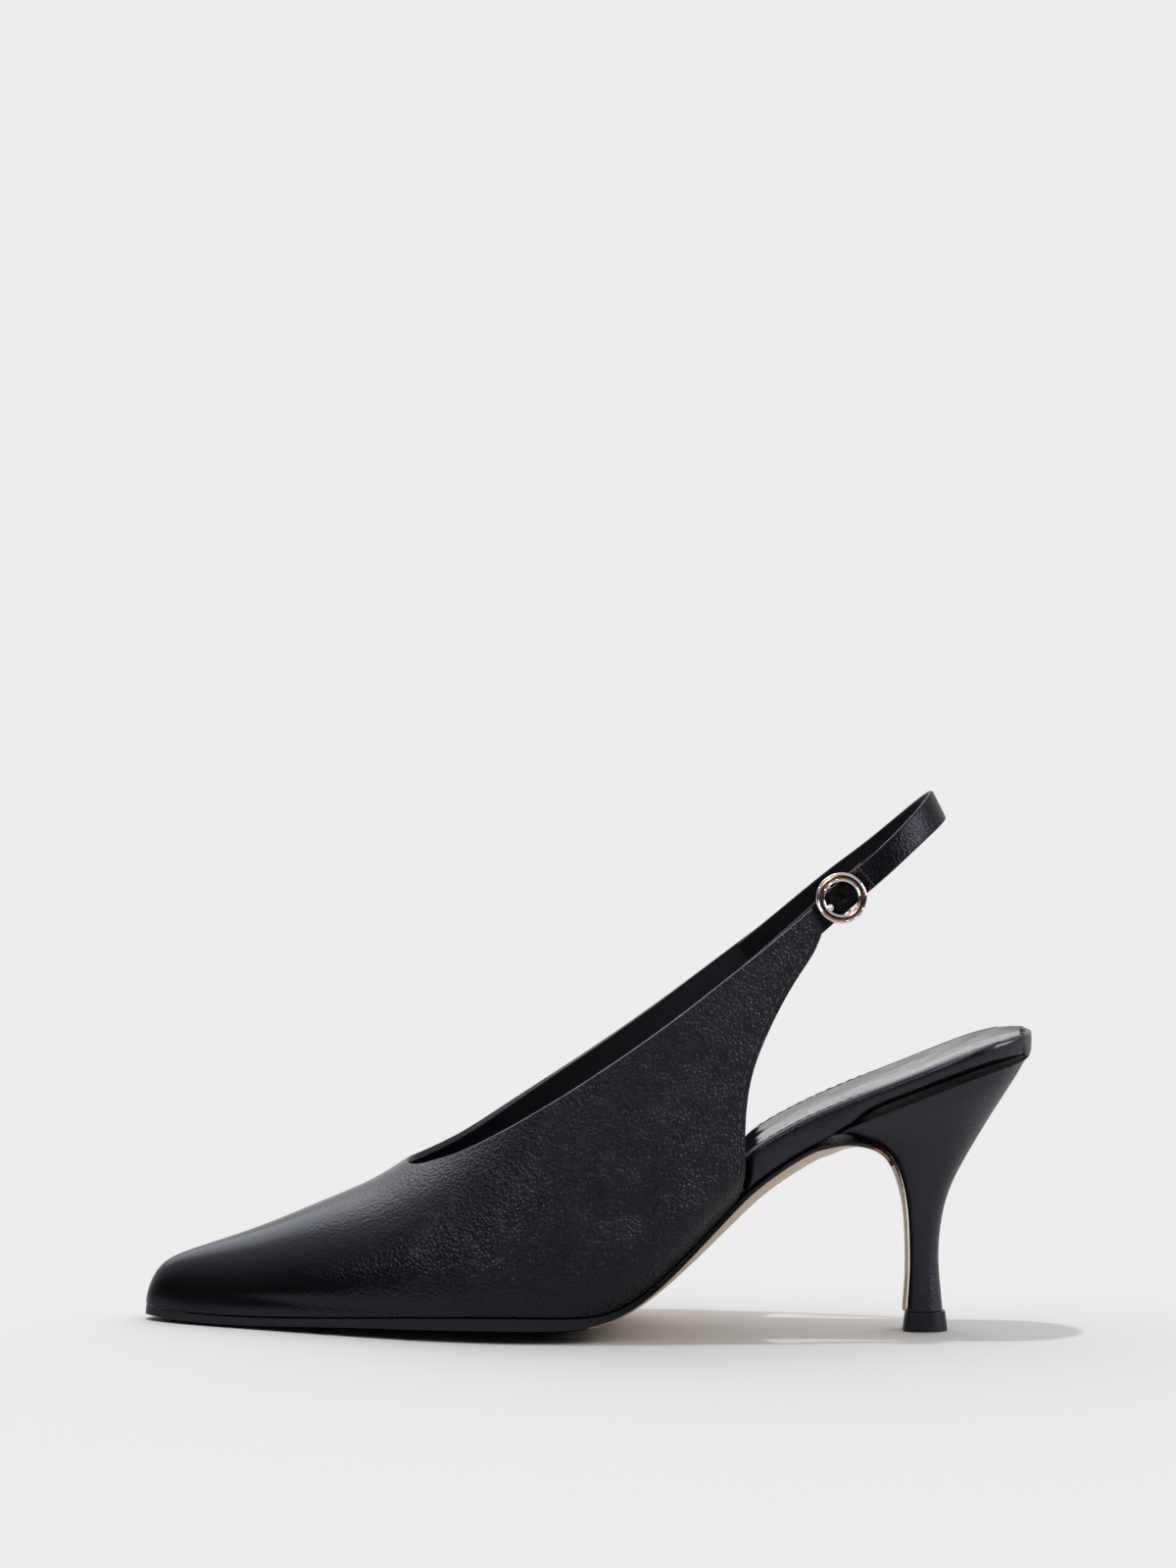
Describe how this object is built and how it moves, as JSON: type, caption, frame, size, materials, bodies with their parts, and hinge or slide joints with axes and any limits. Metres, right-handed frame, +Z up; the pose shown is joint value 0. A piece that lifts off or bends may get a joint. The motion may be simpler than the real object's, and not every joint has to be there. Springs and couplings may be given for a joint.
{
  "type": "slingback pump",
  "caption": "Left slingback pump with a pointed toe, open waist and seat, slim covered heel and a strap with a round buckle.",
  "frame": {"origin": "bottom centre of the bounding box, on the floor", "axes": "-X towards the toe, +X towards the heel, +Y towards the inner side of the foot, +Z up"},
  "size_m": [0.2438, 0.0747, 0.1501],
  "materials": {
    "black_nappa": "soft black leather with a fine grain and a low sheen",
    "heel_cover": "thin black leather drawn over the heel block",
    "sock_leather": "glossy smooth black lining leather",
    "top_lift_rubber": "matte black",
    "sole_leather": "natural beige sole leather with a black edge",
    "polished_metal": "polished"
  },
  "bodies": {
    "root": {"outsole": "sole_leather", "heel": "heel_cover", "top_lift": "top_lift_rubber", "insole": "black_nappa", "sock": "sock_leather", "upper": "black_nappa", "slingback_strap": "black_nappa", "front_strap": "black_nappa", "buckle": "polished_metal"}
  },
  "joints": []
}
